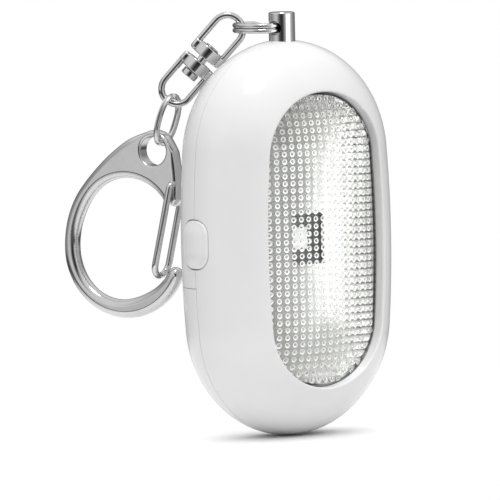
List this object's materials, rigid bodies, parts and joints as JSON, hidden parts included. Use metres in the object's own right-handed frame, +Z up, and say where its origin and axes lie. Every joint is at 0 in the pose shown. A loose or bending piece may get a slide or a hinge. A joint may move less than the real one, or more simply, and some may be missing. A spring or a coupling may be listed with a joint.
{
  "type": "personal safety alarm",
  "caption": "Pebble-shaped hand alarm: crowned clear lens, side button, battery door, sounder grille, and a pull pin on a split ring, swivel, link and snap hook.",
  "frame": {"origin": "centre of the flat back of the case, at mid height", "axes": "+Z up towards the pull pin, -Y out of the lens, +X to the right seen from the lens side"},
  "size_m": [0.0452, 0.048, 0.0774],
  "materials": {
    "case_white": "gloss",
    "screw_steel": "satin",
    "clear_lens": "clear gloss",
    "gasket_rubber": "matte",
    "silvered_tray": "silvered",
    "emitter": "gloss",
    "board_green": "satin",
    "black_plastic": "matte",
    "contact_brass": "satin",
    "cell_steel": "satin",
    "polished_steel": "polished"
  },
  "bodies": {
    "housing": {"front_shell": "case_white", "back_shell": "case_white", "case_screws": "screw_steel", "lens": "clear_lens", "lens_gasket": "gasket_rubber", "reflector": "silvered_tray", "led": "emitter", "main_board": "board_green", "controller_chip": "black_plastic", "tact_switch": "black_plastic", "pin_socket": "black_plastic", "pin_contacts": "contact_brass", "sound_chamber": "black_plastic", "piezo_disc": "contact_brass", "battery_cradle": "black_plastic", "button_cells": "cell_steel", "battery_contacts": "contact_brass"},
    "door": {"battery_door": "case_white", "door_screw": "screw_steel"},
    "button": {"button_cap": "case_white"},
    "pin": {"pull_pin": "polished_steel"},
    "ring": {"split_ring": "polished_steel"},
    "upper_swivel": {"swivel_upper": "polished_steel", "swivel_rivet": "polished_steel"},
    "lower_swivel": {"swivel_lower": "polished_steel"},
    "link": {"chain_link": "polished_steel"},
    "hook": {"snap_hook": "polished_steel"},
    "gate": {"hook_gate": "polished_steel"}
  },
  "joints": [
    {"name": "door_off", "type": "slide", "parent": "housing", "child": "door", "axis": [0, 1, 0], "range_m": [0, 0.0025]},
    {"name": "button_press", "type": "slide", "parent": "housing", "child": "button", "axis": [1, 0, 0], "range_m": [0, 0.0008], "stiffness_N_per_m": 1500},
    {"name": "pin_pull", "type": "slide", "parent": "housing", "child": "pin", "axis": [0, 0, 1], "range_m": [0, 0.02]},
    {"name": "ring_swing", "type": "hinge", "parent": "pin", "child": "ring", "pos_m": [0, -0.01, 0.0382], "axis": [0.9744, 0.225, 0], "range_deg": [0, 70]},
    {"name": "swivel_tilt", "type": "hinge", "parent": "ring", "child": "upper_swivel", "pos_m": [-0.00473, -0.0024, 0.0382], "axis": [0.6494, 0.7604, 0], "range_deg": [0, 40]},
    {"name": "swivel_spin", "type": "hinge", "parent": "upper_swivel", "child": "lower_swivel", "pos_m": [-0.00935, 0.00155, 0.03252], "axis": [-0.5088, 0.4346, -0.7431], "continuous": true},
    {"name": "link_swing", "type": "hinge", "parent": "lower_swivel", "child": "link", "pos_m": [-0.01292, 0.0046, 0.0273], "axis": [0.6494, 0.7604, 0], "range_deg": [0, 30]},
    {"name": "hook_swing", "type": "hinge", "parent": "link", "child": "hook", "pos_m": [-0.01528, 0.00661, 0.01744], "axis": [0.9426, 0.3338, 0], "range_deg": [0, 30]},
    {"name": "gate_open", "type": "hinge", "parent": "hook", "child": "gate", "pos_m": [-0.01452, 0.00449, 0.0097], "axis": [0.9426, 0.3338, 0], "range_deg": [0, 25], "stiffness_Nm_per_rad": 0.02}
  ]
}
